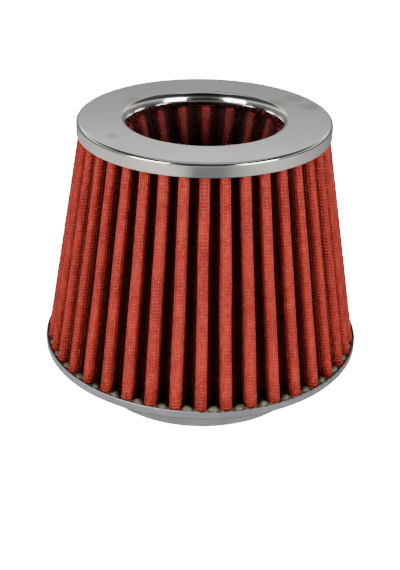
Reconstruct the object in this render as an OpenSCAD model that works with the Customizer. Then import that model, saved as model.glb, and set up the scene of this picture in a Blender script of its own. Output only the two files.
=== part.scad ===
// Open-top twin-cone performance air filter.
// The axis is Z and the mouth of the neck lies in the plane z = 0, so the filter stands on its neck.
// An outer pleated cone and an inverted inner pleated cone hang from one chromed cap ring.

/* [Overall] */
// Outer diameter of the base rim
rim_d = 155; // [145:1:170]
// Outer diameter of the cap
cap_d = 118; // [114:1:128]
// Height from the top edge of the rim to the face of the cap
body_h = 110.7; // [95:0.1:140]
// Depth of the neck's mouth below the top edge of the rim
neck_drop = 25; // [20:0.5:50]

/* [Base pan] */
// Sheet thickness of the pan
pan_t = 0.8; // [0.6:0.1:0.9]
// Height of the rim band, from the underside of the floor to the top edge
rim_h = 4.6; // [4.2:0.1:7]
// Outside radius of the corner between the rim and the floor
rim_corner_r = 1.6; // [1.3:0.1:2.4]
// Height of the pressed rib that dams the base sealant
dam_h = 3.1; // [2.6:0.1:4]
// Width of the pressed rib
dam_w = 2.8; // [2.8:0.1:3.6]
// Outside radius of the rib's upper edges
dam_edge_r = 1.2; // [1:0.1:1.3]

/* [Neck] */
// Inside diameter of the neck, which takes a 4 inch pipe
neck_id = 101.6; // [88:0.1:102]
// Wall of the neck
neck_t = 2.8; // [2:0.1:3.2]
// Radius of the outer edge at the neck's mouth
mouth_edge_r = 1; // [0.5:0.1:1.5]
// Thickness of the flange that holds the neck inside the pan
flange_t = 1.6; // [1:0.1:2.5]

/* [Outer pleats] */
// Number of pleats in the outer cone
outer_pleats = 40; // [36:1:44]
// Turn of the outer cone about the axis, in degrees, from a pleat at the front
outer_turn = 0.5; // [-4:0.5:4]
// Depth of an outer pleat at its foot
outer_depth = 12; // [9:0.5:13]
// Width of an outer pleat's nose at its foot
outer_nose_foot = 5.4; // [4.4:0.1:6.4]
// Width of an outer pleat's nose at its head
outer_nose_head = 4.4; // [3.8:0.1:5]

/* [Inner pleats] */
// Number of pleats in the inner cone
inner_pleats = 20; // [19:1:22]
// Turn of the inner cone about the axis, in degrees, from a pleat at the front
inner_turn = -1; // [-8:0.5:8]
// Depth of an inner pleat
inner_depth = 8.8; // [8.4:0.2:9.6]
// Height of the inner cone
inner_h = 64; // [40:1:68]
// Slope of the inner cone from the axis, in degrees
inner_slope = 15.5; // [8:0.5:16]
// Width of an inner pleat's nose at its head
inner_nose_head = 5; // [4:0.1:6]
// Width of an inner pleat's nose at its foot
inner_nose_foot = 3.2; // [3:0.1:3.5]

/* [Filter pack] */
// Thickness of the folded cotton gauze
gauze_t = 0.8; // [0.5:0.1:0.9]
// Thickness of a layer of wire cloth
wire_t = 0.25; // [0.15:0.05:0.35]
// Clearance between the gauze and each wire cloth
ply_gap = 0.05; // [0.03:0.01:0.08]
// Sheet thickness of the seam strips
seam_t = 0.5; // [0.3:0.1:0.6]
// Length of each leg of a seam strip
seam_leg = 2.4; // [1.8:0.1:2.8]

/* [Cap] */
// Sheet thickness of the cap
cap_t = 0.6; // [0.5:0.1:0.7]
// Height of the outer skirt
skirt_h = 6.6; // [5.6:0.1:9]
// Outside radius of the edge between the face and the skirt
cap_edge_r = 1.5; // [1.2:0.1:2]
// Diameter of the throat just below its rounded edge
throat_d = 72.8; // [64:0.1:74]
// Outside radius of the rounded edge of the throat
throat_edge_r = 1; // [0.8:0.1:1.4]
// Depth of the throat's lower lip below the face of the cap
throat_h = 6.8; // [6.2:0.1:7.6]
// Depth at which the throat wall starts to curl in
curl_start = 2.4; // [1.8:0.1:2.8]
// How far the lower lip of the throat curls in
curl_in = 0.9; // [0.5:0.1:1.1]
// Diameter of the rolled edge of that lip
lip_d = 1; // [0.8:0.1:1.4]

/* [End dish] */
// Sheet thickness of the dish that closes the inner cone
dish_t = 0.6; // [0.5:0.1:1]
// Height of the dish wall above the feet of the inner pleats
dish_rise = 2.4; // [1.5:0.1:4]
// Outside radius of the dish's lower corner
dish_corner_r = 1.6; // [1.2:0.1:2.2]
// Height of the raised centre pressed into the dish
dish_raise = 1.6; // [1:0.1:2.4]
// Width of the flat ledge around the raised centre, counted from the noses of the pleats
dish_ledge = 8; // [6:0.5:10]

/* [Sealant] */
// Depth of sealant under the outer pleats
base_seal_h = 2.8; // [2:0.1:3]
// Depth of sealant above the pleats, in the cap
cap_seal_h = 3.8; // [3:0.1:4.4]
// Depth of sealant under the inner pleats
dish_seal_h = 3; // [2:0.1:4]
// Radius of a sealant bead between two pleat feet
drop_r = 2.1; // [1.5:0.1:2.3]
// Height of a sealant bead above the sealant around it
drop_rise = 1.5; // [0.8:0.1:1.9]
// Sealant left beyond the folds on the inner side of the pleats
seal_margin = 1.8; // [1:0.1:2.5]

/* [Fits] */
// Clearance between pleat noses and the sheet metal around them
nose_gap = 0.2; // [0.1:0.05:0.4]
// Clearance between the throat wall and the inner pleats
throat_gap = 0.9; // [0.7:0.1:1.5]
// Space between the folds of the two cones under the cap
cone_space = 1; // [0.8:0.1:2]
// Clearance between the flange of the neck and the rib of the pan
rib_gap = 0.5; // [0.3:0.1:0.7]
// Clearance of sealant and bonded metal from the sheet beside it
bond_gap = 0.05; // [0.02:0.01:0.1]
// Clearance between a seam strip and the fold under it
seam_gap = 0.15; // [0.1:0.05:0.3]

/* [Hidden] */
$fn = 96;
sealant_colour = [0.6, 0.57, 0.46];

// Radii of the sheet metal
rim_r = rim_d / 2;
cap_r = cap_d / 2;
neck_r = neck_id / 2;
neck_outer_r = neck_r + neck_t;
throat_r = throat_d / 2;

// Heights, counted from the mouth of the neck
rim_top = neck_drop;
pan_under = rim_top - rim_h;
pan_floor = pan_under + pan_t;
foot_z = pan_floor + base_seal_h;
cap_top = rim_top + body_h;
cap_inside = cap_top - cap_t;
head_z = cap_inside - bond_gap - cap_seal_h;
skirt_low = cap_top - skirt_h;
inner_foot_z = head_z - inner_h;

// A folded pack: gauze with wire cloth on both faces
pack_t = gauze_t + 2 * wire_t + 2 * ply_gap;
// Half a nose turns by 90 degrees in two steps, and a fold turns by 90 degrees at its tip
nose_step = 45;
nose_mitre = 1 / cos(nose_step / 2);
fold_mitre = 1 / cos(45);

// The outer noses run on a straight line from the foot to just inside the lower edge of the skirt
outer_foot_r = rim_r - pan_t - nose_gap;
outer_skirt_r = cap_r - cap_t - nose_gap;
outer_slope = (outer_foot_r - outer_skirt_r) / (skirt_low - foot_z);
outer_head_r = outer_foot_r - outer_slope * (head_z - foot_z);

// The inner noses face the axis and hang from the throat
inner_head_r = throat_r + cap_t + throat_gap;
inner_foot_r = inner_head_r - inner_h * tan(inner_slope);
inner_head_fold_r = inner_head_r + inner_depth;
inner_foot_fold_r = inner_foot_r + inner_depth;

// The folds of the outer cone: the cap leaves them what the inner cone doesn't take
outer_foot_fold_r = outer_foot_r - outer_depth;
outer_head_fold_r = inner_head_fold_r + cone_space;

// Rings in the pan
dam_outer_r = outer_foot_fold_r - seal_margin - bond_gap;
dam_inner_r = dam_outer_r - dam_w;
drop_ring_r = outer_foot_r - drop_r - nose_gap;

// The flange of the neck fills the floor of the pan up to the rib
flange_r = dam_inner_r - rib_gap;
neck_chamfer = flange_t / 2;

// The dish stays clear of the cone that widens above it
dish_wall_r = inner_foot_fold_r + dish_rise * tan(inner_slope) + nose_gap;
dish_floor = inner_foot_z - dish_seal_h;

// Unit normal that points to the right of a step from a to b
function step_normal(a, b) = let (d = b - a) [d.y, -d.x] / norm(d);

// Moves each side of a closed outline outwards by d and mitres its corners
function grown(p, d) =
    let (n = len(p))
    [for (i = [0 : n - 1])
        let (before = step_normal(p[(i + n - 1) % n], p[i]))
        let (after = step_normal(p[i], p[(i + 1) % n]))
        p[i] + d * (before + after) / (1 + before * after)];

// Middle line of a ring of pleats. side is 1 where the noses point outwards and -1 where they
// point to the axis. nose_r and fold_r are the radii of the pack's own faces.
function pleat_ring(count, turn, nose_r, fold_r, nose_w, side) =
    let (half = 180 / count)
    let (tip = nose_r - side * nose_mitre * pack_t / 2)
    let (root = fold_r + side * fold_mitre * pack_t / 2)
    let (a = (nose_w - pack_t) / 2)
    let (half_arc = PI / count)
    let (b = (root * half_arc - a) / (1 - side * half_arc))
    let (nose = [for (t = [0 : nose_step : 90]) [a * sin(t), tip - side * a * (1 - cos(t))]])
    let (fold = [[b, root + side * b], [0, root]])
    let (rise = concat([for (q = nose) [q.x / q.y * 180 / PI, q.y]],
                       [for (q = fold) [half - q.x / q.y * 180 / PI, q.y]]))
    let (fall = [for (i = [len(rise) - 2 : -1 : 1]) [2 * half - rise[i].x, rise[i].y]])
    [for (k = [0 : count - 1])
        for (q = concat(rise, fall))
            let (angle = k * 2 * half + q.x + turn - 90)
            q.y * [cos(angle), sin(angle)]];

// Triangles that join a ring of n corners, counted from a, to the ring counted from b
function strip(a, b, n) =
    [for (i = [0 : n - 1])
        let (j = (i + 1) % n)
        for (face = [[a + i, b + j, a + j], [a + i, b + i, b + j]]) face];

function flipped(faces) = [for (f = faces) [f[2], f[1], f[0]]];

// Solid between two offsets of a pleat ring at its foot and the same offsets at its head.
// Both skins are cut along the same diagonals, so that the layers of a pack nest.
module pleated_wall(foot, head, z0, z1, out, in) {
    n = len(foot);
    rings = [grown(foot, out), grown(foot, in), grown(head, out), grown(head, in)];
    height = [z0, z0, z1, z1];
    corners = [for (r = [0 : 3]) for (q = rings[r]) [q.x, q.y, height[r]]];
    skins = concat(strip(0, 2 * n, n), flipped(strip(n, 3 * n, n)));
    ends = concat(strip(n, 0, n), strip(2 * n, 3 * n, n));
    polyhedron(points = corners, faces = concat(skins, ends), convexity = 20);
}

function outer_ring(nose_r, fold_r, nose_w) =
    pleat_ring(outer_pleats, outer_turn, nose_r, fold_r, nose_w, 1);

function inner_ring(nose_r, fold_r, nose_w) =
    pleat_ring(inner_pleats, inner_turn, nose_r, fold_r, nose_w, -1);

outer_foot_ring = outer_ring(outer_foot_r, outer_foot_fold_r, outer_nose_foot);
outer_head_ring = outer_ring(outer_head_r, outer_head_fold_r, outer_nose_head);
inner_foot_ring = inner_ring(inner_foot_r, inner_foot_fold_r, inner_nose_foot);
inner_head_ring = inner_ring(inner_head_r, inner_head_fold_r, inner_nose_head);

module outer_layer(out, in) {
    pleated_wall(outer_foot_ring, outer_head_ring, foot_z, head_z, out, in);
}

module inner_layer(out, in) {
    pleated_wall(inner_foot_ring, inner_head_ring, inner_foot_z, head_z, out, in);
}

module outer_face_wire() {
    color("dimgray") outer_layer(pack_t / 2, pack_t / 2 - wire_t);
}

module outer_gauze() {
    color("firebrick") outer_layer(gauze_t / 2, -gauze_t / 2);
}

module outer_back_wire() {
    color("dimgray") outer_layer(wire_t - pack_t / 2, -pack_t / 2);
}

// The inner cone shows its noses to the axis, so its face wire is the one nearest the axis
module inner_face_wire() {
    color("dimgray") inner_layer(wire_t - pack_t / 2, -pack_t / 2);
}

module inner_gauze() {
    color("firebrick") inner_layer(gauze_t / 2, -gauze_t / 2);
}

module inner_back_wire() {
    color("dimgray") inner_layer(pack_t / 2, pack_t / 2 - wire_t);
}

// Radius, at height z, of a fold that runs straight from r0 at z0 to r1 at z1
function fold_radius(z, z0, r0, z1, r1) = r0 + (r1 - r0) * (z - z0) / (z1 - z0);

function outer_fold(z) = fold_radius(z, foot_z, outer_foot_fold_r, head_z, outer_head_fold_r);

function inner_fold(z) = fold_radius(z, inner_foot_z, inner_foot_fold_r, head_z, inner_head_fold_r);

// Each seam lies on the fold nearest the back. This is its angle from the +Y axis.
function seam_angle(count, turn) = (floor(count / 2) + 0.5) * 360 / count - 180 + turn;

// Metal strip folded to a V over one fold of a cone, between heights z0 and z1 where the fold
// has the radii r0 and r1. side is 1 where the fold points to the axis and -1 where it points out.
module seam_strip(z0, r0, z1, r1, side) {
    lean = atan((r0 - r1) / (z1 - z0));
    reach = seam_leg / fold_mitre;
    back = fold_mitre * seam_t;
    leg_end = [reach + back / 2, side * (reach - back / 2)];
    translate([0, r0 - side * fold_mitre * seam_gap, z0])
        rotate([lean, 0, 0])
            linear_extrude(norm([r1 - r0, z1 - z0]))
                polygon([[0, 0], [reach, side * reach], leg_end, [0, -side * back],
                         [-leg_end.x, leg_end.y], [-reach, side * reach]]);
}

module outer_seam_strip() {
    low = foot_z + nose_gap;
    high = head_z - nose_gap;
    color("silver")
        rotate([0, 0, seam_angle(outer_pleats, outer_turn)])
            seam_strip(low, outer_fold(low), high, outer_fold(high), 1);
}

// The inner strip starts just above the wall of the dish
module inner_seam_strip() {
    low = inner_foot_z + dish_rise + nose_gap;
    high = head_z - nose_gap;
    color("silver")
        rotate([0, 0, seam_angle(inner_pleats, inner_turn)])
            seam_strip(low, inner_fold(low), high, inner_fold(high), -1);
}

// Section of a sheet of thickness t that is bent round the point (x, z) with the outside radius r,
// from the angle start through turn degrees, which are 90 at most
module bend(x, z, r, t, start, turn) {
    reach = 2 * r;
    translate([x, z])
        intersection() {
            difference() {
                circle(r = r);
                circle(r = r - t);
            }
            polygon([[0, 0], reach * [cos(start), sin(start)],
                     reach * [cos(start + turn), sin(start + turn)]]);
        }
}

// Face, skirt and throat of the cap. The throat's wall curls in towards a rolled lip.
module top_cap_section() {
    curl_z = cap_top - curl_start;
    curl_h = throat_h - lip_d / 2 - curl_start;
    curl_r = (curl_h * curl_h + curl_in * curl_in) / (2 * curl_in);
    curl_turn = asin(curl_h / curl_r);
    translate([throat_r + throat_edge_r, cap_inside])
        square([cap_r - cap_edge_r - throat_r - throat_edge_r, cap_t]);
    bend(cap_r - cap_edge_r, cap_top - cap_edge_r, cap_edge_r, cap_t, 0, 90);
    translate([cap_r - cap_t, skirt_low + cap_t / 2])
        square([cap_t, skirt_h - cap_edge_r - cap_t / 2]);
    translate([cap_r - cap_t / 2, skirt_low + cap_t / 2])
        circle(d = cap_t);
    bend(throat_r + throat_edge_r, cap_top - throat_edge_r, throat_edge_r, cap_t, 90, 90);
    translate([throat_r, curl_z])
        square([cap_t, curl_start - throat_edge_r]);
    bend(throat_r - curl_r, curl_z, curl_r + cap_t, cap_t, -curl_turn, curl_turn);
    translate([throat_r - curl_in + cap_t / 2, curl_z - curl_h])
        circle(d = lip_d);
}

module top_cap() {
    color("gainsboro")
        rotate_extrude()
            top_cap_section();
}

// Sealant that fills the cap between the throat and the skirt, down to the heads of the pleats
module cap_sealant() {
    color(sealant_colour)
        rotate_extrude()
            translate([throat_r + cap_t + bond_gap, head_z])
                round_top_slab(cap_r - throat_r - 2 * (cap_t + bond_gap), cap_seal_h, cap_edge_r - cap_t);
}

// Sealant in the pan, with a bead that wells up between each two pleat feet
module base_sealant() {
    color(sealant_colour) {
        rotate_extrude()
            translate([dam_outer_r + bond_gap, foot_z])
                mirror([0, 1])
                    round_top_slab(rim_r - pan_t - dam_outer_r - 2 * bond_gap, base_seal_h,
                                   rim_corner_r - pan_t);
        for (k = [0 : outer_pleats - 1])
            rotate([0, 0, (k + 0.5) * 360 / outer_pleats + outer_turn - 90])
                translate([drop_ring_r, 0, foot_z + drop_rise - drop_r])
                    sphere(r = drop_r, $fn = 24);
    }
}

module base_pan() {
    color("silver")
        rotate_extrude()
            base_pan_section();
}

module base_pan_section() {
    hole_r = neck_outer_r + bond_gap;
    // Rim with a rounded top edge
    translate([rim_r - pan_t, pan_under + rim_corner_r])
        square([pan_t, rim_h - rim_corner_r - pan_t / 2]);
    translate([rim_r - pan_t / 2, rim_top - pan_t / 2])
        circle(d = pan_t);
    bend(rim_r - rim_corner_r, pan_under + rim_corner_r, rim_corner_r, pan_t, -90, 90);
    // Floor outside the rib, and the inner floor up to the hole for the neck
    translate([dam_outer_r - pan_t, pan_under])
        square([rim_r - rim_corner_r - dam_outer_r + pan_t, pan_t]);
    translate([hole_r, pan_under])
        square([dam_inner_r + pan_t - hole_r, pan_t]);
    // Rib pressed up out of the floor
    difference() {
        translate([dam_inner_r, pan_under])
            round_top_slab(dam_w, pan_t + dam_h, dam_edge_r);
        translate([dam_inner_r + pan_t, pan_under - pan_t])
            round_top_slab(dam_w - 2 * pan_t, pan_t + dam_h, dam_edge_r - pan_t);
    }
}

// Rectangle of width w and height h whose two upper corners are rounded
module round_top_slab(w, h, r) {
    square([w, h - r]);
    translate([r, 0])
        square([w - 2 * r, h]);
    for (x = [r, w - r])
        translate([x, h - r])
            circle(r = r);
}

// Neck: a turned tube that hangs through the pan, with a flange that lies on the floor of the pan
module neck() {
    color("silver")
        rotate_extrude()
            difference() {
                union() {
                    translate([neck_r, mouth_edge_r])
                        square([neck_t, pan_floor + flange_t - mouth_edge_r]);
                    translate([neck_r, 0])
                        square([neck_t - mouth_edge_r, 2 * mouth_edge_r]);
                    translate([neck_outer_r - mouth_edge_r, mouth_edge_r])
                        circle(r = mouth_edge_r);
                    translate([neck_r, pan_floor])
                        square([flange_r - neck_r, flange_t]);
                }
                // Chamfer round the top of the bore
                translate([neck_r, pan_floor + flange_t])
                    rotate(45)
                        square(neck_chamfer * sqrt(2), center = true);
            }
}

// Pressed dish that closes the lower end of the inner cone, with a raised centre
module end_dish() {
    color("silver")
        rotate_extrude()
            end_dish_section();
}

module end_dish_section() {
    outer_r = dish_wall_r + dish_t;
    under = dish_floor - dish_t;
    wall_top = inner_foot_z + dish_rise;
    raised_r = inner_foot_r - dish_ledge;
    translate([dish_wall_r, under + dish_corner_r])
        square([dish_t, wall_top - under - dish_corner_r - dish_t / 2]);
    translate([dish_wall_r + dish_t / 2, wall_top - dish_t / 2])
        circle(d = dish_t);
    bend(outer_r - dish_corner_r, under + dish_corner_r, dish_corner_r, dish_t, -90, 90);
    // Ledge, slanted side and raised centre
    polygon([[outer_r - dish_corner_r, under], [outer_r - dish_corner_r, dish_floor],
             [raised_r + dish_raise, dish_floor], [raised_r, dish_floor + dish_raise],
             [0, dish_floor + dish_raise], [0, under + dish_raise],
             [raised_r - dish_t * tan(22.5), under + dish_raise],
             [raised_r + dish_raise - dish_t * tan(22.5), under]]);
}

// Ring of sealant under the inner pleats, from the dish wall to just inside the noses
module end_sealant() {
    seal_inner_r = inner_foot_r - seal_margin;
    color(sealant_colour)
        rotate_extrude()
            translate([seal_inner_r, inner_foot_z])
                mirror([0, 1])
                    round_top_slab(dish_wall_r - bond_gap - seal_inner_r, dish_seal_h,
                                   dish_corner_r - dish_t);
}

top_cap();
cap_sealant();
outer_face_wire();
outer_gauze();
outer_back_wire();
outer_seam_strip();
inner_face_wire();
inner_gauze();
inner_back_wire();
inner_seam_strip();
end_dish();
end_sealant();
base_sealant();
base_pan();
neck();
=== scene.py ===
import math

import bmesh
import bpy
import numpy as np
from mathutils import Matrix, Vector


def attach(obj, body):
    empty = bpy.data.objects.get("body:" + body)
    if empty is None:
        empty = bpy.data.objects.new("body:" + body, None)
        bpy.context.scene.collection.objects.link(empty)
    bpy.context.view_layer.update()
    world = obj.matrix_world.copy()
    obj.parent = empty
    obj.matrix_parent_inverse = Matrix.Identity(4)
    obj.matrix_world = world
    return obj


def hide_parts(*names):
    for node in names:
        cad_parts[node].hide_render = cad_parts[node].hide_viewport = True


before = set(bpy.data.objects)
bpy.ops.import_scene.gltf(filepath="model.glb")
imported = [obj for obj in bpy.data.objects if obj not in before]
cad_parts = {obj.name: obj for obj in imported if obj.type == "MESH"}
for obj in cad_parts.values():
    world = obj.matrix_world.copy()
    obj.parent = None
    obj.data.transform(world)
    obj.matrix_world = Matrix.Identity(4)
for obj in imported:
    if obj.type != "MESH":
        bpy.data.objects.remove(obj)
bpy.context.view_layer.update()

# Viewpoint: a lens at counter height looks down on the front of the filter.
# The eye's place and tilt come from the ellipses of cap, throat, rim and neck in the photograph.
EYE = Vector((-0.0007, -0.48603, 0.30376))
EYE_PITCH = 0.48422
EYE_ROLL = 0.0195
FOCAL_PIXELS = 1105.8
PHOTO_HEIGHT = 570
SENSOR = 36.0

forward = Vector((0, math.cos(EYE_PITCH), -math.sin(EYE_PITCH)))
level_right = Vector((1, 0, 0))
level_up = level_right.cross(forward)
right = level_right * math.cos(EYE_ROLL) + level_up * math.sin(EYE_ROLL)
up = level_up * math.cos(EYE_ROLL) - level_right * math.sin(EYE_ROLL)
eye = bpy.data.objects.new("eye", bpy.data.cameras.new("eye"))
eye.matrix_world = Matrix((
    (right.x, up.x, -forward.x, EYE.x),
    (right.y, up.y, -forward.y, EYE.y),
    (right.z, up.z, -forward.z, EYE.z),
    (0, 0, 0, 1),
))
eye.data.sensor_width = SENSOR
eye.data.lens = FOCAL_PIXELS / PHOTO_HEIGHT * SENSOR
eye.data.clip_start = 0.01
bpy.context.scene.collection.objects.link(eye)
bpy.context.scene.camera = eye

# Floor: a wide pale table of matte card, level with the mouth of the neck.
# From the photograph's viewpoint it runs past every edge of the picture and shows no horizon.
FLOOR_HALF = 4.0
FLOOR_COLOUR = (0.56, 0.56, 0.57)
FLOOR_SHEEN = 0.1
FLOOR_GLOW = 20.0


def plain_shader(name, colour, roughness, metallic=0.0):
    """A new material. Returns it, its node tree and its Principled shader, set to plain values."""
    material = bpy.data.materials.new(name)
    material.use_nodes = True
    tree = material.node_tree
    shader = tree.nodes["Principled BSDF"]
    shader.inputs["Base Color"].default_value = (*colour, 1)
    shader.inputs["Roughness"].default_value = roughness
    shader.inputs["Metallic"].default_value = metallic
    return material, tree, shader


def flat_card(name, half_x, low_y, high_y, height):
    """A level rectangle, half_x to both sides of the axis and from low_y to high_y."""
    corners = [(-half_x, low_y, height), (half_x, low_y, height),
               (half_x, high_y, height), (-half_x, high_y, height)]
    mesh = bpy.data.meshes.new(name)
    mesh.from_pydata(corners, [], [(0, 1, 2, 3)])
    card = bpy.data.objects.new(name, mesh)
    bpy.context.scene.collection.objects.link(card)
    return card


floor = flat_card("table", FLOOR_HALF, -FLOOR_HALF, FLOOR_HALF, 0)
floor_material, floor_tree, floor_shader = plain_shader("table_card", FLOOR_COLOUR, 0.9)
floor_shader.inputs["Specular IOR Level"].default_value = FLOOR_SHEEN
# The table is overexposed in the photograph, so it glows for the eye alone and lights nothing
seen = floor_tree.nodes.new("ShaderNodeLightPath")
floor_tree.links.new(seen.outputs["Is Camera Ray"], floor_shader.inputs["Emission Color"])
floor_shader.inputs["Emission Strength"].default_value = FLOOR_GLOW
floor.data.materials.append(floor_material)

# Reflected card: a long card on the table, painted in bands from left to right, which runs under
# the filter. Only reflections see it, above all those in the skirt of the cap.
CARD_HALF = 0.6
CARD_Y = (-0.46, 0.30)
CARD_HEIGHT = 0.001
CARD_COLOUR = (0.5, 0.5, 0.5)
# Share of the card's length from its left end, and the colour there
CARD_BANDS = ((0.0, (0.55, 0.55, 0.60)), (0.17, (0.85, 0.81, 0.76)), (0.30, (1.0, 0.93, 0.85)),
              (0.39, (0.72, 0.69, 0.65)), (0.46, (0.16, 0.16, 0.17)), (0.58, (0.14, 0.15, 0.16)),
              (0.66, (0.38, 0.38, 0.37)), (0.76, (0.68, 0.66, 0.63)), (1.0, (0.60, 0.60, 0.62)))


def map_range(nodes, low, high, to_low=0.0, to_high=1.0):
    """A node that maps the range low..high evenly to to_low..to_high, and stops at its ends."""
    node = nodes.new("ShaderNodeMapRange")
    for socket, value in (("From Min", low), ("From Max", high), ("To Min", to_low), ("To Max", to_high)):
        node.inputs[socket].default_value = value
    return node


def band_ramp(nodes, bands):
    """A colour ramp through bands of (place, colour), the first of which is at place 0."""
    ramp = nodes.new("ShaderNodeValToRGB")
    elements = ramp.color_ramp.elements
    elements.remove(elements[1])
    for place, _ in bands[1:]:
        elements.new(place)
    for element, (_, tone) in zip(elements, bands):
        element.color = (*tone, 1)
    return ramp


card = flat_card("reflected_card", CARD_HALF, *CARD_Y, CARD_HEIGHT)
card_material, card_tree, card_shader = plain_shader("reflected_card", CARD_COLOUR, 0.9)
card_place = card_tree.nodes.new("ShaderNodeTexCoord")
card_split = card_tree.nodes.new("ShaderNodeSeparateXYZ")
card_share = map_range(card_tree.nodes, -CARD_HALF, CARD_HALF)
card_ramp = band_ramp(card_tree.nodes, CARD_BANDS)
card_tree.links.new(card_place.outputs["Object"], card_split.inputs[0])
card_tree.links.new(card_split.outputs["X"], card_share.inputs["Value"])
card_tree.links.new(card_share.outputs["Result"], card_ramp.inputs["Fac"])
card_tree.links.new(card_ramp.outputs["Color"], card_shader.inputs["Base Color"])
card.data.materials.append(card_material)
card.visible_camera = False
card.visible_diffuse = False
card.visible_shadow = False

# Studio: two soft boxes stand at the front left and front right, and a third hangs overhead.
# The room is pale behind the filter, in a band above eye level that the cap's face mirrors, and
# less so at both sides, while the wall behind the viewer is dark.
BOX_TURN = 47
BOX_REACH = 1.0
BOX_HEIGHT = 0.42
BOX_SIZE = (0.62, 0.34)
BOX_POWER = 12.3
TOP_POWER = 3.0
TOP_PLACE = (0, 0.1, 1.5)
TOP_SIZE = (1.2, 1.2)
LAMP_AIM = Vector((0, 0, 0.08))
# Sine of the height above level, and the light there
ROOM_BANDS = ((0.0, 0.10), (0.22, 0.42), (0.31, 0.42), (0.36, 0.95), (0.41, 2.2), (0.49, 0.7),
              (0.62, 0.12))
ROOM_BLUE = 1.01
ROOM_FRONT = 0.12
ROOM_SIDES = 0.6
ROOM_FRONT_TO_BACK = (-0.1, 0.35)
ROOM_MIDDLE_TO_SIDE = (0.3, 0.8)


def soft_box(name, place, size, power):
    """Rectangular lamp at place that faces the middle of the filter."""
    lamp = bpy.data.lights.new(name, "AREA")
    lamp.shape = "RECTANGLE"
    lamp.size, lamp.size_y = size
    lamp.energy = power
    holder = bpy.data.objects.new(name, lamp)
    aim = (LAMP_AIM - Vector(place)).to_track_quat("-Z", "Y")
    holder.matrix_world = Matrix.Translation(place) @ aim.to_matrix().to_4x4()
    bpy.context.scene.collection.objects.link(holder)


for side, label in ((-1, "left"), (1, "right")):
    turn = math.radians(BOX_TURN)
    place = (side * BOX_REACH * math.sin(turn), -BOX_REACH * math.cos(turn), BOX_HEIGHT)
    soft_box("soft_box_" + label, place, BOX_SIZE, BOX_POWER)
soft_box("soft_box_top", TOP_PLACE, TOP_SIZE, TOP_POWER)


def math_node(nodes, operation, second=None):
    """A node for one operation, with its second input set where a number is given."""
    node = nodes.new("ShaderNodeMath")
    node.operation = operation
    if second is not None:
        node.inputs[1].default_value = second
    return node


room = bpy.data.worlds.new("room")
room.use_nodes = True
bpy.context.scene.world = room
room_nodes, room_links = room.node_tree.nodes, room.node_tree.links
sky_way = room_nodes.new("ShaderNodeTexCoord")
sky_split = room_nodes.new("ShaderNodeSeparateXYZ")
sky_ramp = band_ramp(room_nodes, [(height, (light, light, light * ROOM_BLUE))
                                  for height, light in ROOM_BANDS])
sky_depth = map_range(room_nodes, *ROOM_FRONT_TO_BACK, ROOM_FRONT)
sky_across = math_node(room_nodes, "ABSOLUTE")
sky_flank = map_range(room_nodes, *ROOM_MIDDLE_TO_SIDE, ROOM_FRONT, ROOM_SIDES)
sky_most = math_node(room_nodes, "MAXIMUM")
room_links.new(sky_way.outputs["Generated"], sky_split.inputs[0])
room_links.new(sky_split.outputs["Z"], sky_ramp.inputs["Fac"])
room_links.new(sky_split.outputs["Y"], sky_depth.inputs["Value"])
room_links.new(sky_split.outputs["X"], sky_across.inputs[0])
room_links.new(sky_across.outputs[0], sky_flank.inputs["Value"])
room_links.new(sky_flank.outputs["Result"], sky_most.inputs[0])
room_links.new(sky_depth.outputs["Result"], sky_most.inputs[1])
room_links.new(sky_most.outputs[0], room_nodes["Background"].inputs["Strength"])
room_links.new(sky_ramp.outputs["Color"], room_nodes["Background"].inputs["Color"])

# Neck: a turned aluminium tube that the intake pipe slides into, matte from its cutting.
# Its flange lies on the floor of the pan, where the sealant holds it.
MATTE_METAL = (0.33, 0.33, 0.345)
MATTE_DARK = (0.31, 0.31, 0.325)
MATTE_LIGHT = (0.35, 0.35, 0.365)
MATTE_ROUGHNESS = (0.44, 0.56)
MATTE_GRAIN = 60
MATTE_BUMP = 0.00004
GRAIN_RANGE = (0.35, 0.65)
FINE_TO_COARSE = 9


def grain_group():
    """Cloudy grain: Value is a noise round 0.5, and Height is a much finer one for a bump."""
    group = bpy.data.node_groups.new("metal_grain", "ShaderNodeTree")
    group.interface.new_socket("Vector", in_out="INPUT", socket_type="NodeSocketVector")
    group.interface.new_socket("Scale", in_out="INPUT", socket_type="NodeSocketFloat")
    group.interface.new_socket("Value", in_out="OUTPUT", socket_type="NodeSocketFloat")
    group.interface.new_socket("Height", in_out="OUTPUT", socket_type="NodeSocketFloat")
    enter = group.nodes.new("NodeGroupInput")
    leave = group.nodes.new("NodeGroupOutput")
    coarse = group.nodes.new("ShaderNodeTexNoise")
    coarse.inputs["Detail"].default_value = 3
    fine = group.nodes.new("ShaderNodeTexNoise")
    fine.inputs["Detail"].default_value = 2
    finer = math_node(group.nodes, "MULTIPLY", FINE_TO_COARSE)
    group.links.new(enter.outputs["Vector"], coarse.inputs["Vector"])
    group.links.new(enter.outputs["Scale"], coarse.inputs["Scale"])
    group.links.new(enter.outputs["Scale"], finer.inputs[0])
    group.links.new(enter.outputs["Vector"], fine.inputs["Vector"])
    group.links.new(finer.outputs[0], fine.inputs["Scale"])
    group.links.new(coarse.outputs["Fac"], leave.inputs["Value"])
    group.links.new(fine.outputs["Fac"], leave.inputs["Height"])
    return group


METAL_GRAIN = grain_group()


def add_grain(tree, scale):
    """Places the grain group on Object coordinates in a material and returns its node."""
    where = tree.nodes.new("ShaderNodeTexCoord")
    grain = tree.nodes.new("ShaderNodeGroup")
    grain.node_tree = METAL_GRAIN
    grain.inputs["Scale"].default_value = scale
    tree.links.new(where.outputs["Object"], grain.inputs["Vector"])
    return grain


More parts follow.
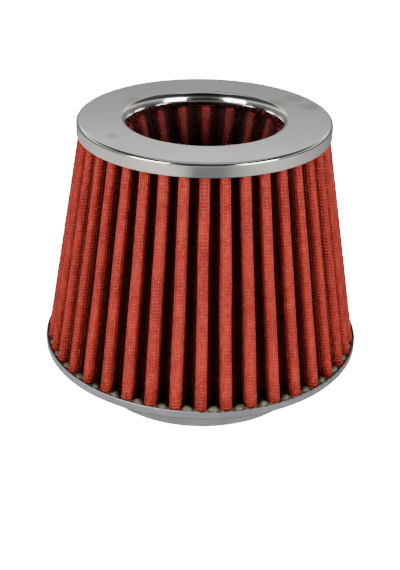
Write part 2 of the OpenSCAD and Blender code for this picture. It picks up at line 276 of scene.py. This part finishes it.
def spread(tree, value, low, high):
    """Maps a value round 0.5 to the range from low to high, which may be numbers or colours."""
    ramp = tree.nodes.new("ShaderNodeValToRGB")
    for element, place, end in zip(ramp.color_ramp.elements, GRAIN_RANGE, (low, high)):
        element.position = place
        element.color = (end, end, end, 1) if isinstance(end, float) else (*end, 1)
    tree.links.new(value, ramp.inputs["Fac"])
    return ramp.outputs["Color"]


def add_bump(tree, shader, height, depth):
    """Feeds a height, as a share of depth in metres, into the shader's normal."""
    bump = tree.nodes.new("ShaderNodeBump")
    bump.inputs["Distance"].default_value = depth
    tree.links.new(height, bump.inputs["Height"])
    tree.links.new(bump.outputs["Normal"], shader.inputs["Normal"])


def dress(node, material):
    """Gives a CAD node its material in every slot."""
    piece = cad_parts[node]
    piece.data.materials.clear()
    piece.data.materials.append(material)


def matte_material():
    """Matte aluminium: its grey and its roughness cloud together, over a very shallow grain."""
    material, tree, shader = plain_shader("matte_metal", MATTE_METAL, 0.5, 0.6)
    grain = add_grain(tree, MATTE_GRAIN)
    tree.links.new(spread(tree, grain.outputs["Value"], MATTE_DARK, MATTE_LIGHT), shader.inputs["Base Color"])
    tree.links.new(spread(tree, grain.outputs["Value"], *MATTE_ROUGHNESS), shader.inputs["Roughness"])
    add_bump(tree, shader, grain.outputs["Height"], MATTE_BUMP)
    return material


matte_metal = matte_material()
dress("neck", matte_metal)

# Base pan: one pressing of thin sheet, whose rim stands round the feet of the outer pleats.
# It has the same matte finish as the neck.
dress("base_pan", matte_metal)

# Base sealant: resin poured into the pan. It has crept up into a mound between each two pleats.
# The mounds are uneven, because each is what was pushed up when the pleats were pressed in.
RESIN = (0.145, 0.13, 0.085)
RESIN_DARK = (0.09, 0.08, 0.05)
# Painted shade: the near black colour of the resin inward of the outer noses, in the shadowed valleys between
# the pleats
RESIN_PAINTED_SHADE = (0.02, 0.012, 0.008)
RESIN_ROUGHNESS = (0.35, 0.6)
RESIN_GRAIN = 150
RESIN_BUMP = 0.0002
# Radii over which the painted shade gives way to the resin's own colour
PAINTED_SHADE_R = (0.0722, 0.0742)
OUTER_PLEATS = 40
OUTER_TURN = math.radians(0.5)
FOOT_Z = 0.0240
FOOT_R = 0.0765
BEAD_R = 0.0023
BEAD_RISE = 0.0013
BEAD_INSET = 0.0003
BEAD_SHIFT = 0.0005
BEAD_STRETCH = 1.1
BEAD_STEPS = (14, 20)
WAVES_ROUND = 0.09
WAVES_DOWN = 0.06
POLE_REACH = 1e-8


def resin_material():
    """Cast resin: slightly cloudy, with a painted shade, near black, inward of the outer noses, where the
    valleys between the pleats lie in shadow.
    """
    material, tree, shader = plain_shader("resin", RESIN, 0.45)
    grain = add_grain(tree, RESIN_GRAIN)
    where = tree.nodes.new("ShaderNodeTexCoord")
    flat = tree.nodes.new("ShaderNodeVectorMath")
    flat.operation = "MULTIPLY"
    flat.inputs[1].default_value = (1, 1, 0)
    radius = tree.nodes.new("ShaderNodeVectorMath")
    radius.operation = "LENGTH"
    # clean is 0 inward of the outer noses, where painted shade covers the resin, and 1 outward of them
    clean = map_range(tree.nodes, *PAINTED_SHADE_R)
    painted_shade_mix = tree.nodes.new("ShaderNodeMix")
    painted_shade_mix.data_type = "RGBA"
    painted_shade_mix.inputs["A"].default_value = (*RESIN_PAINTED_SHADE, 1)
    tree.links.new(where.outputs["Object"], flat.inputs[0])
    tree.links.new(flat.outputs[0], radius.inputs[0])
    tree.links.new(radius.outputs["Value"], clean.inputs["Value"])
    tree.links.new(clean.outputs["Result"], painted_shade_mix.inputs["Factor"])
    tree.links.new(spread(tree, grain.outputs["Value"], RESIN_DARK, RESIN), painted_shade_mix.inputs["B"])
    tree.links.new(painted_shade_mix.outputs["Result"], shader.inputs["Base Color"])
    tree.links.new(spread(tree, grain.outputs["Value"], *RESIN_ROUGHNESS), shader.inputs["Roughness"])
    add_bump(tree, shader, grain.outputs["Height"], RESIN_BUMP)
    return material


resin = resin_material()
dress("base_sealant", resin)


def cells(index):
    """Corners of each cell of a stack of grids of indices, in turn round the cell."""
    around = [index[:, :-1, :-1], index[:, 1:, :-1], index[:, 1:, 1:], index[:, :-1, 1:]]
    return np.stack(around, -1).reshape(-1, 4)


def grid_piece(name, points, wrap_u=False, wrap_v=False, uv=None, poles=False):
    """Smooth mesh of quads over one grid of points (u, v, 3), or over a stack of such grids.

    A grid that wraps in u or v closes on itself, while its UV map, given with one more row or
    column there, runs on without a jump. Faces point along du x dv. A grid whose first and last
    rows each lie in one point has them joined as poles.
    """
    points = points.reshape((-1,) + points.shape[-3:])
    grids, rows, columns = points.shape[:3]
    row = np.arange(rows + wrap_u) % rows
    column = np.arange(columns + wrap_v) % columns
    first = np.arange(grids)[:, None, None] * rows * columns
    quads = cells(first + row[:, None] * columns + column)
    mesh = bpy.data.meshes.new(name)
    mesh.vertices.add(grids * rows * columns)
    mesh.vertices.foreach_set("co", points.astype(np.float32).ravel())
    mesh.loops.add(quads.size)
    mesh.loops.foreach_set("vertex_index", quads.ravel().astype(np.int32))
    mesh.polygons.add(len(quads))
    mesh.polygons.foreach_set("loop_start", np.arange(0, quads.size, 4, dtype=np.int32))
    mesh.polygons.foreach_set("use_smooth", np.ones(len(quads), bool))
    mesh.update(calc_edges=True)
    if uv is not None:
        layer = mesh.uv_layers.new(name="cloth")
        picked = cells(np.arange(uv[..., 0].size).reshape((-1,) + uv.shape[-3:-1]))
        layer.uv.foreach_set("vector", uv.reshape(-1, 2)[picked.ravel()].astype(np.float32).ravel())
    if poles:
        joined = bmesh.new()
        joined.from_mesh(mesh)
        bmesh.ops.remove_doubles(joined, verts=joined.verts, dist=POLE_REACH)
        joined.to_mesh(mesh)
        joined.free()
    piece = bpy.data.objects.new(name, mesh)
    bpy.context.scene.collection.objects.link(piece)
    return piece


def finish_piece(piece, material, slot, *nodes):
    """Gives a new piece its material and body, and hides the CAD nodes that it stands for. The slot is not
    used.
    """
    piece.data.materials.append(material)
    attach(piece, "root")
    if nodes:
        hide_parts(*nodes)


def resin_beads():
    """One lump per gap between pleats, as a sphere that is stretched a little along the rim.

    Its radius swells in three waves round it and in one wave from top to bottom. Its size and its
    place along the rim change from lump to lump, by sines of the lump's number.
    """
    rows, columns = BEAD_STEPS
    tilt = np.linspace(0, np.pi, rows)[None, :, None]
    spin = (-np.arange(columns) * 2 * np.pi / columns)[None, None, :]
    bead = np.arange(OUTER_PLEATS)[:, None, None]
    lump = (1 + WAVES_ROUND * np.sin(3 * spin + 1.7 * bead) * np.sin(tilt)
            + WAVES_DOWN * np.sin(2 * tilt + bead))
    size = BEAD_R * (0.92 + 0.14 * np.sin(2.3 * bead + 0.5))
    shift = BEAD_SHIFT * np.sin(1.9 * bead)
    out = FOOT_R - BEAD_INSET - BEAD_STRETCH * size + size * lump * np.sin(tilt) * np.cos(spin)
    along = shift + BEAD_STRETCH * size * lump * np.sin(tilt) * np.sin(spin)
    height = FOOT_Z + BEAD_RISE - size + size * lump * np.cos(tilt)
    angle = (bead + 0.5) * 2 * np.pi / OUTER_PLEATS + OUTER_TURN - np.pi / 2
    x = out * np.cos(angle) - along * np.sin(angle)
    y = out * np.sin(angle) + along * np.cos(angle)
    return np.stack([x, y, np.broadcast_to(height, x.shape)], -1)


finish_piece(grid_piece("resin_beads", resin_beads(), wrap_v=True, poles=True), resin, "sealant")

# Outer pleats: red oiled cotton gauze, folded together with wire cloth on both faces.
# The noses are round, the flanks run side by side and each fold at the back is a tight V.
PACK = 0.0014
GAUZE = 0.0008
HEAD_Z = 0.13125
# Radius of the noses, radius of the folds and width of a nose, at the foot and at the head
OUTER_FOOT = (FOOT_R, 0.0645, 0.0054)
OUTER_HEAD = (0.05783, 0.0477, 0.0044)
WIRE = 0.00026
WIRE_PITCH = 0.00153
GAUZE_RED = (0.52, 0.030, 0.018)
GAUZE_DARK = (0.32, 0.015, 0.010)
GAUZE_SHEEN = 0.25
GAUZE_GRAIN = 90
GAUZE_BUMP = 0.00022
THREAD_RISE = 0.2
# Painted shade and light in each mesh of the gauze: at half strength, the colour is multiplied by this range,
# from under the wires to the middle
MESH_SHADE = (0.35, 1.15)
# Painted shade towards the folds: the share of colour left there, and the depths over which it falls
FOLD_SHADE = 0.22
FOLD_DEPTHS = (0.22, 0.62)
NOSE_STEPS = 9
FOLD_STEPS = 4
FOLD_BEND = 0.8
OUTER_SWAY = 0.00012
# Waves round the ring, share of the sway, and the angle at which the wave starts
SWAYS = ((11, 1.0, 0.0), (17, 0.8, 0.4), (29, 0.6, 2.2))
SWAY_TWIST = 0.5
STEP_ALONG = 2e-4
STEP_UP = 1e-3


def half_pleat(count, side, nose_r, fold_r, nose_w):
    """Half of one pleat's middle line as (angle, radius), from the nose's centre to the fold's.

    The nose is a quarter round of radius a. The flank then keeps the distance a from the nose's
    centre plane until it meets the fold, a V of 90 degrees whose point is rounded. A distance x
    at radius r stands for the angle x / r. The side is 1 where the noses face away from the axis
    and -1 where they face it.
    """
    half = np.pi / count
    tip = nose_r - side * PACK / 2
    root = fold_r + side * PACK / math.sqrt(2)
    a = (nose_w - PACK) / 2
    b = (root * half - a) / (1 - side * half)
    bend = FOLD_BEND * PACK
    t = np.linspace(0, np.pi / 2, NOSE_STEPS)
    nose_radius = tip - side * a * (1 - np.cos(t))
    corner_radius = root + side * b
    flank_radius = (nose_radius[-1] + corner_radius) / 2
    p = np.linspace(np.pi / 4, 0, FOLD_STEPS)
    fold_radius = root + side * bend * (math.sqrt(2) - np.cos(p))
    angle = np.concatenate([a * np.sin(t) / nose_radius, [a / flank_radius, half - b / corner_radius],
                            half - bend * np.sin(p) / fold_radius])
    radius = np.concatenate([nose_radius, [flank_radius, corner_radius], fold_radius])
    return np.stack([angle, radius], -1)


def pleat_loop(count, turn, *half_pleat_sizes):
    """Closed middle line (x, y) of a ring of pleats: the half pleat mirrored, then repeated."""
    half = half_pleat(count, *half_pleat_sizes)
    pitch = 2 * np.pi / count
    one = np.vstack([half, half[-2:0:-1] * [-1, 1] + [pitch, 0]])
    angle = (one[:, 0] + pitch * np.arange(count)[:, None]).ravel() + turn - np.pi / 2
    radius = np.tile(one[:, 1], count)
    return np.stack([radius * np.cos(angle), radius * np.sin(angle)], -1)


def pleat_ring(count, turn, side, foot, head, foot_z, head_z, sway):
    """All that places a point on a ring of pleats, with the cloth's length at half height."""
    foot, head = pleat_loop(count, turn, side, *foot), pleat_loop(count, turn, side, *head)
    middle = (foot + head) / 2
    steps = np.linalg.norm(np.roll(middle, -1, 0) - middle, axis=1)
    length = np.concatenate([[0], np.cumsum(steps)])
    return {"foot": foot, "head": head, "z": (foot_z, head_z), "sway": sway, "length": length}


def on_cloth(ring, s, v):
    """Points (s, v, 3) at lengths s along the cloth and shares v of its height.

    Foot and head are joined by straight lines, which then sway sideways by a sum of sines
    that is nothing at both ends, since the resin holds the cloth there.
    """
    total, corners = ring["length"][-1], len(ring["foot"])
    k = np.interp(np.mod(s, total), ring["length"], np.arange(corners + 1))
    low = np.floor(k).astype(int) % corners
    share = (k - np.floor(k))[:, None, None]
    v = np.asarray(v, float)[None, :, None]
    foot, head = (ring[end][low][:, None] * (1 - share) + ring[end][(low + 1) % corners][:, None] * share
                  for end in ("foot", "head"))
    flat = foot * (1 - v) + head * v
    turn = np.arctan2(flat[..., 1], flat[..., 0])
    place = turn + SWAY_TWIST * v[..., 0]
    sway = sum(size * np.sin(waves * place + start) for waves, size, start in SWAYS)
    sway = ring["sway"] * sway * np.sin(np.pi * v[..., 0])
    flat = flat + sway[..., None] * np.stack([-np.sin(turn), np.cos(turn)], -1)
    low_z, high_z = ring["z"]
    height = np.broadcast_to(low_z + (high_z - low_z) * v, flat.shape[:2] + (1,))
    return np.concatenate([flat, height], -1)


def cloth_frame(ring, s, v):
    """Points on the cloth with their normals, away from the axis, and their upward tangents."""
    along = on_cloth(ring, s + STEP_ALONG, v) - on_cloth(ring, s - STEP_ALONG, v)
    upward = on_cloth(ring, s, v + STEP_UP) - on_cloth(ring, s, v - STEP_UP)
    normal = np.cross(along, upward)
    normal /= np.linalg.norm(normal, axis=-1, keepdims=True)
    upward /= np.linalg.norm(upward, axis=-1, keepdims=True)
    return on_cloth(ring, s, v), normal, upward


def pitches(ring):
    """Whole numbers of wire pitches round the cloth and up it."""
    low_z, high_z = ring["z"]
    return round(ring["length"][-1] / WIRE_PITCH), round((high_z - low_z) / WIRE_PITCH)


def cloth_sheet(name, ring, outer, inner, rows):
    """Closed sheet between two offsets of the cloth. Its UV map counts wire pitches."""
    s, v = ring["length"][:-1], np.linspace(0, 1, rows)
    point, normal, _ = cloth_frame(ring, s, v)
    points = np.concatenate([point + outer * normal, (point + inner * normal)[:, ::-1]], 1)
    across, up_count = pitches(ring)
    u = ring["length"][:, None] / ring["length"][-1] * across
    w = np.concatenate([v, v[::-1], v[:1]])[None] * up_count
    uv = np.stack(np.broadcast_arrays(u, w), -1)
    return grid_piece(name, points, wrap_u=True, wrap_v=True, uv=uv)


def weave_group():
    """Cloth seen through a wire mesh, from a UV map that counts wire pitches.

    Pillow is 1 in the middle of each mesh and 0 under the wires, as the product of two sines.
    Thread is the finer weave of the cloth itself, three threads to a pitch. Wire is 1 where a
    wire runs. Depth is 0 at each nose and 1 at each fold, for pleats of the given pitches.
    """
    group = bpy.data.node_groups.new("gauze_weave", "ShaderNodeTree")
    group.interface.new_socket("Vector", in_out="INPUT", socket_type="NodeSocketVector")
    group.interface.new_socket("Pleat", in_out="INPUT", socket_type="NodeSocketFloat")
    for name in ("Pillow", "Thread", "Wire", "Depth"):
        group.interface.new_socket(name, in_out="OUTPUT", socket_type="NodeSocketFloat")
    enter = group.nodes.new("NodeGroupInput")
    leave = group.nodes.new("NodeGroupOutput")
    split = group.nodes.new("ShaderNodeSeparateXYZ")
    group.links.new(enter.outputs["Vector"], split.inputs[0])

    def ridges(axis, waves):
        """Absolute sine with the given number of ridges per pitch along one axis."""
        scale = math_node(group.nodes, "MULTIPLY", math.pi * waves)
        sine = math_node(group.nodes, "SINE")
        size = math_node(group.nodes, "ABSOLUTE")
        group.links.new(split.outputs[axis], scale.inputs[0])
        group.links.new(scale.outputs[0], sine.inputs[0])
        group.links.new(sine.outputs[0], size.inputs[0])
        return size.outputs[0]

    def woven(waves, how):
        """The ridges along both axes, taken together by the given operation."""
        both = math_node(group.nodes, how)
        group.links.new(ridges("X", waves), both.inputs[0])
        group.links.new(ridges("Y", waves), both.inputs[1])
        return both.outputs[0]

    narrow = math_node(group.nodes, "LESS_THAN", math.sin(math.pi * WIRE / WIRE_PITCH / 2))
    share = math_node(group.nodes, "DIVIDE")
    fold = math_node(group.nodes, "PINGPONG", 0.5)
    twice = math_node(group.nodes, "MULTIPLY", 2)
    group.links.new(woven(1, "MULTIPLY"), leave.inputs["Pillow"])
    group.links.new(woven(3, "MULTIPLY"), leave.inputs["Thread"])
    group.links.new(woven(1, "MINIMUM"), narrow.inputs[0])
    group.links.new(narrow.outputs[0], leave.inputs["Wire"])
    group.links.new(split.outputs["X"], share.inputs[0])
    group.links.new(enter.outputs["Pleat"], share.inputs[1])
    group.links.new(share.outputs[0], fold.inputs[0])
    group.links.new(fold.outputs[0], twice.inputs[0])
    group.links.new(twice.outputs[0], leave.inputs["Depth"])
    return group


GAUZE_WEAVE = weave_group()


def add_weave(tree, pleat):
    """The woven pattern on the piece's UV map, and a shade that darkens towards the folds."""
    where = tree.nodes.new("ShaderNodeTexCoord")
    weave = tree.nodes.new("ShaderNodeGroup")
    weave.node_tree = GAUZE_WEAVE
    weave.inputs["Pleat"].default_value = pleat
    tree.links.new(where.outputs["UV"], weave.inputs["Vector"])
    painted_fold_shade = map_range(tree.nodes, *FOLD_DEPTHS, 1.0, FOLD_SHADE)
    tree.links.new(weave.outputs["Depth"], painted_fold_shade.inputs["Value"])
    return weave, painted_fold_shade.outputs["Result"]


def shaded(tree, colour, shade, strength=1.0):
    """A colour output multiplied by a shade output, in part where the strength is below 1."""
    product = tree.nodes.new("ShaderNodeMix")
    product.data_type = "RGBA"
    product.blend_type = "MULTIPLY"
    product.inputs["Factor"].default_value = strength
    tree.links.new(colour, product.inputs["A"])
    tree.links.new(shade, product.inputs["B"])
    return product.outputs["Result"]


def gauze_material(name, light, dark, pleat):
    """Oiled red cotton, with painted shade and light: each mesh darkens towards its wires and brightens a
    little in its middle, and painted shade darkens the colour towards the folds.
    """
    material, tree, shader = plain_shader(name, light, 0.75)
    shader.inputs["Specular IOR Level"].default_value = GAUZE_SHEEN
    weave, painted_fold_shade = add_weave(tree, pleat)
    grain = add_grain(tree, GAUZE_GRAIN)
    cloud = spread(tree, grain.outputs["Value"], dark, light)
    shade = map_range(tree.nodes, 0.0, 1.0, *MESH_SHADE)
    tree.links.new(weave.outputs["Pillow"], shade.inputs["Value"])
    threads = shaded(tree, cloud, shade.outputs["Result"], 0.5)
    tree.links.new(shaded(tree, threads, painted_fold_shade), shader.inputs["Base Color"])
    height = math_node(tree.nodes, "MULTIPLY_ADD", THREAD_RISE)
    tree.links.new(weave.outputs["Thread"], height.inputs[0])
    tree.links.new(weave.outputs["Pillow"], height.inputs[2])
    add_bump(tree, shader, height.outputs[0], GAUZE_BUMP)
    return material


outer_ring = pleat_ring(OUTER_PLEATS, OUTER_TURN, 1, OUTER_FOOT, OUTER_HEAD, FOOT_Z, HEAD_Z, OUTER_SWAY)
outer_gauze = gauze_material("outer_oiled_gauze", GAUZE_RED, GAUZE_DARK,
                             pitches(outer_ring)[0] / OUTER_PLEATS)
finish_piece(cloth_sheet("outer_gauze_folds", outer_ring, GAUZE / 2, -GAUZE / 2, rows=14),
             outer_gauze, "red_gauze", "outer_gauze")

# Outer wire cloth: thin coated wires, woven square and folded with the gauze to keep its shape.
# The upright wires run from foot to head, and the cross wires follow every fold.
WIRE_DARK = (0.34, 0.035, 0.025)
WIRE_LIGHT = (0.56, 0.108, 0.08)
WIRE_ROUGHNESS = (0.32, 0.55)
WIRE_SHEEN = 0.3
WIRE_GRAIN = 500
FACE = GAUZE / 2 + WIRE / 2


def wires(name, centre, first, second, along, closed):
    """Four-sided wires along stacked lines of points (wire, point, 3), in the plane of two axes.

    Their UV map counts the wire pitches along the cloth, as the cloth's own map does. A wire that
    isn't closed in a ring has a point at each end, in the plane of its last corners.
    """
    corner = np.arange(4) * np.pi / 2
    points = (centre[:, :, None] + WIRE / 2 * (np.cos(corner)[:, None] * first[:, :, None]
                                               + np.sin(corner)[:, None] * second[:, :, None]))
    if not closed:
        ends = np.repeat(centre[:, [0, -1], None], 4, axis=2)
        points = np.concatenate([ends[:, :1], points, ends[:, 1:]], 1)
        along = np.pad(along, ((0, 0), (1, 1)), mode="edge")
    uv = np.stack(np.broadcast_arrays(along[:, :, None], np.zeros(5)), -1)
    return grid_piece(name, points, wrap_u=closed, wrap_v=True, uv=uv, poles=not closed)


def upright_wires(name, ring, offset, rows):
    """Wires up the cloth, one at each pitch, each along the line from foot to head."""
    across, _ = pitches(ring)
    wire = np.arange(across)
    s = wire / across * ring["length"][-1]
    point, normal, upward = cloth_frame(ring, s, np.linspace(0, 1, rows))
    along = np.broadcast_to(wire[:, None], (across, rows))
    return wires(name, point + offset * normal, normal, np.cross(normal, upward), along, closed=False)


def cross_wires(name, ring, offset, first, step):
    """Every step-th wire round the cloth, through every other corner of its folds."""
    across, up_count = pitches(ring)
    v = np.arange(first, up_count, step) / up_count
    s = ring["length"][::2]
    point, normal, upward = (a.swapaxes(0, 1) for a in cloth_frame(ring, s[:-1], v))
    along = np.broadcast_to(s / s[-1] * across, (len(v), len(s)))
    return wires(name, point + offset * normal, normal, upward, along, closed=True)


def wire_material(name, dark, light, pleat):
    """Coated wire, reddened by the oiled gauze, with painted shade towards the folds and a few paler lengths.
    """
    material, tree, shader = plain_shader(name, light, 0.4)
    shader.inputs["Specular IOR Level"].default_value = WIRE_SHEEN
    _, painted_fold_shade = add_weave(tree, pleat)
    grain = add_grain(tree, WIRE_GRAIN)
    colour = spread(tree, grain.outputs["Value"], dark, light)
    tree.links.new(shaded(tree, colour, painted_fold_shade), shader.inputs["Base Color"])
    tree.links.new(spread(tree, grain.outputs["Value"], *WIRE_ROUGHNESS), shader.inputs["Roughness"])
    return material


outer_wire = wire_material("outer_wire", WIRE_DARK, WIRE_LIGHT, pitches(outer_ring)[0] / OUTER_PLEATS)
finish_piece(upright_wires("outer_upright_wires", outer_ring, FACE, rows=10), outer_wire, "wire_cloth",
             "outer_face_wire")
for start, label in ((0, "even"), (1, "odd")):
    finish_piece(cross_wires("outer_cross_wires_" + label, outer_ring, FACE, start, step=2),
                 outer_wire, "wire_cloth")

# Outer back wire: the same cloth lies behind the gauze, where it shows only through the neck.
# It is one thin sheet that is cut away between its wires.
BACK_WIRE = (0.40, 0.36, 0.35)
BACK_WIRE_DARK = (0.28, 0.25, 0.24)
BACK_GRAIN = 300
BACK_GAP = 0.0001
BACK_BUMP = 0.0002


def mesh_material():
    """Woven wire as a sheet: opaque only where its UV map has a wire, rounded by a bump."""
    material, tree, shader = plain_shader("back_mesh", BACK_WIRE, 0.45, 0.6)
    where = tree.nodes.new("ShaderNodeTexCoord")
    weave = tree.nodes.new("ShaderNodeGroup")
    weave.node_tree = GAUZE_WEAVE
    tree.links.new(where.outputs["UV"], weave.inputs["Vector"])
    tree.links.new(weave.outputs["Wire"], shader.inputs["Alpha"])
    grain = add_grain(tree, BACK_GRAIN)
    tree.links.new(spread(tree, grain.outputs["Value"], BACK_WIRE_DARK, BACK_WIRE),
                   shader.inputs["Base Color"])
    add_bump(tree, shader, weave.outputs["Pillow"], -BACK_BUMP)
    return material


back_mesh = mesh_material()
finish_piece(cloth_sheet("outer_back_mesh", outer_ring, -GAUZE / 2 - BACK_GAP, -PACK / 2, rows=8),
             back_mesh, "wire_cloth", "outer_back_wire")

# Seam strips: a narrow strip of bare metal is folded over the back of each cone's seam.
# They clamp the two ends of the folded cloth together.
MILL_METAL = (0.55, 0.55, 0.56)
MILL_SHADE = 0.88
MILL_ROUGHNESS = (0.3, 0.45)
MILL_GRAIN = 220
MILL_BUMP = 0.00002


def mill_material():
    """Bare rolled sheet: a faint grain that changes its grey and its roughness together."""
    material, tree, shader = plain_shader("mill_metal", MILL_METAL, MILL_ROUGHNESS[0], 1.0)
    grain = add_grain(tree, MILL_GRAIN)
    darker = tuple(MILL_SHADE * c for c in MILL_METAL)
    tree.links.new(spread(tree, grain.outputs["Value"], darker, MILL_METAL), shader.inputs["Base Color"])
    tree.links.new(spread(tree, grain.outputs["Value"], *MILL_ROUGHNESS), shader.inputs["Roughness"])
    add_bump(tree, shader, grain.outputs["Height"], MILL_BUMP)
    return material


mill_metal = mill_material()
dress("outer_seam_strip", mill_metal)
dress("inner_seam_strip", mill_metal)

# Inner pleats: a smaller cone of the same cloth, point downwards, that air enters through the cap.
# Its noses face the axis, so its face wire lies on the side of the axis.
INNER_PLEATS = 20
INNER_TURN = math.radians(-1)
INNER_FOOT_Z = 0.06725
INNER_FOOT = (0.02015, 0.02895, 0.0032)
INNER_HEAD = (0.0379, 0.0467, 0.0050)
# The inner cone is the same cloth and wire as the outer one: its darker colours are painted shade for the
# shadowed inside of the cone
INNER_SHADED_RED = (0.24, 0.017, 0.014)
INNER_SHADED_DARK = (0.15, 0.009, 0.007)
INNER_SHADED_WIRE_DARK = (0.10, 0.018, 0.015)
INNER_SHADED_WIRE_LIGHT = (0.24, 0.06, 0.05)
INNER_SWAY = 0.00006

inner_ring = pleat_ring(INNER_PLEATS, INNER_TURN, -1, INNER_FOOT, INNER_HEAD, INNER_FOOT_Z, HEAD_Z,
                        INNER_SWAY)
inner_gauze = gauze_material("inner_gauze_painted_shade", INNER_SHADED_RED, INNER_SHADED_DARK,
                             pitches(inner_ring)[0] / INNER_PLEATS)
finish_piece(cloth_sheet("inner_gauze_folds", inner_ring, GAUZE / 2, -GAUZE / 2, rows=10),
             inner_gauze, "red_gauze", "inner_gauze")
inner_wire_painted_shade = wire_material("inner_wire_painted_shade", INNER_SHADED_WIRE_DARK, INNER_SHADED_WIRE_LIGHT,
                           pitches(inner_ring)[0] / INNER_PLEATS)
finish_piece(upright_wires("inner_upright_wires", inner_ring, -FACE, rows=8), inner_wire_painted_shade, "wire_cloth",
             "inner_face_wire")
finish_piece(cross_wires("inner_cross_wires", inner_ring, -FACE, 0, step=1), inner_wire_painted_shade, "wire_cloth")
finish_piece(cloth_sheet("inner_back_mesh", inner_ring, PACK / 2, GAUZE / 2 + BACK_GAP, rows=6),
             back_mesh, "wire_cloth", "inner_back_wire")

# Sealant in the cap and in the dish: the same resin, poured round the ends of the pleats.
# That in the cap holds the heads of both cones, and that in the dish the feet of the inner one.
dress("cap_sealant", resin)
dress("end_sealant", resin)

# End dish: a shallow pressing of bare sheet that closes the lower end of the inner cone.
# It hangs from the inner pleats, whose feet are cast into it.
dress("end_dish", mill_metal)

# Cap: one ring, spun from thin sheet and chromed. Its skirt holds the heads of the outer pleats.
# Its throat rolls in softly to a lip in front of the heads of the inner pleats.
CAP_R = 0.059
CAP_TOP = 0.1357
CAP_T = 0.0006
CAP_EDGE_R = 0.0015
SKIRT_LOW = 0.1291
LIP_R = 0.0005
LIP_PLACE = (0.0358, 0.1294)
ROLL_IN = 0.0033
CAP_AROUND = 360
FLAT_REACH = 0.00012
CHROME = (0.67, 0.67, 0.655)
CHROME_SMUDGED = (0.52, 0.51, 0.47)
CHROME_STAINED = (0.22, 0.21, 0.17)
CHROME_ROUGHNESS = (0.15, 0.08)
SMUDGE_GRAIN = 28
SPECK_GRAIN = 260
STAIN_STRENGTH = 1.3
# Place of each stained spot, and its reach
STAINS = (((-0.0330, 0.0205, CAP_TOP), 0.008), ((0.0335, 0.0215, CAP_TOP), 0.008),
          ((0.0437, 0.0290, CAP_TOP), 0.008), ((0.0500, 0.0170, CAP_TOP), 0.007),
          ((-0.0404, -0.0282, CAP_TOP), 0.004))


def arc(centre_r, centre_z, radius, start, end, steps, rise=None):
    """Points (radius, height) on an arc of a circle, or of an ellipse with the given rise.

    The arc runs from one angle in degrees to another.
    """
    t = np.radians(np.linspace(start, end, steps))
    return np.stack([centre_r + radius * np.cos(t), centre_z + (rise or radius) * np.sin(t)], -1)


def held_flat(section):
    """Adds a point close to both ends of each long straight step, which keeps its shading flat."""
    step = np.roll(section, -1, 0) - section
    length = np.linalg.norm(step, axis=1)
    share = np.where(length > 5 * FLAT_REACH, FLAT_REACH / length, 0)[:, None]
    rows = np.stack([section, section + share * step, section + (1 - share) * step], 1)
    kept = np.stack([np.ones(len(section), bool), share[:, 0] > 0, share[:, 0] > 0], 1)
    return rows[kept]


def lathe(name, section):
    """Ring that turns a closed section of (radius, height) points about the axis."""
    angle = (np.arange(CAP_AROUND) * 2 * np.pi / CAP_AROUND)[:, None]
    radius, height = section[None, :, 0], section[None, :, 1]
    points = np.stack([radius * np.cos(angle), radius * np.sin(angle),
                       np.broadcast_to(height, (CAP_AROUND, len(section)))], -1)
    return grid_piece(name, points, wrap_u=True, wrap_v=True)


def cap_section():
    """Closed outline of the cap's sheet, from the lower edge of the skirt round to it again."""
    edge_z = CAP_TOP - CAP_EDGE_R
    lip_r, lip_z = LIP_PLACE
    roll_r, roll_h = lip_r - LIP_R + ROLL_IN, CAP_TOP - lip_z
    return np.vstack([
        arc(CAP_R - CAP_T / 2, SKIRT_LOW + CAP_T / 2, CAP_T / 2, 180, 360, 9),
        arc(CAP_R - CAP_EDGE_R, edge_z, CAP_EDGE_R, 0, 90, 13),
        arc(roll_r, lip_z, ROLL_IN, 90, 178, 28, rise=roll_h),
        arc(lip_r, lip_z, LIP_R, 180, 438, 20),
        arc(roll_r, lip_z, ROLL_IN - CAP_T, 173, 90, 16, rise=roll_h - CAP_T),
        arc(CAP_R - CAP_EDGE_R, edge_z, CAP_EDGE_R - CAP_T, 90, 0, 9),
    ])


def add_stains(tree, clean, grain):
    """A clean colour that turns to the stained colour near each given place, broken up by grain."""
    where = tree.nodes.new("ShaderNodeTexCoord")
    for place, reach in STAINS:
        away = tree.nodes.new("ShaderNodeVectorMath")
        away.operation = "DISTANCE"
        away.inputs[1].default_value = place
        near = map_range(tree.nodes, reach, 0.0, 0.0, STAIN_STRENGTH)
        broken = math_node(tree.nodes, "MULTIPLY")
        patch = tree.nodes.new("ShaderNodeMix")
        patch.data_type = "RGBA"
        patch.inputs["B"].default_value = (*CHROME_STAINED, 1)
        tree.links.new(where.outputs["Object"], away.inputs[0])
        tree.links.new(away.outputs["Value"], near.inputs["Value"])
        tree.links.new(near.outputs["Result"], broken.inputs[0])
        tree.links.new(grain, broken.inputs[1])
        tree.links.new(broken.outputs[0], patch.inputs["Factor"])
        tree.links.new(clean, patch.inputs["A"])
        clean = patch.outputs["Result"]
    return clean


def chrome_material():
    """Bright plate over spun sheet: smudges dull it all over, and a few spots are stained."""
    material, tree, shader = plain_shader("chrome_plate", CHROME, 0.12, 1.0)
    grain = add_grain(tree, SMUDGE_GRAIN)
    smudged = spread(tree, grain.outputs["Value"], CHROME_SMUDGED, CHROME)
    speck = add_grain(tree, SPECK_GRAIN)
    tree.links.new(add_stains(tree, smudged, speck.outputs["Value"]), shader.inputs["Base Color"])
    tree.links.new(spread(tree, grain.outputs["Value"], *CHROME_ROUGHNESS), shader.inputs["Roughness"])
    return material


chrome = chrome_material()
finish_piece(lathe("cap_ring", held_flat(cap_section())), chrome, "cap_metal", "top_cap")
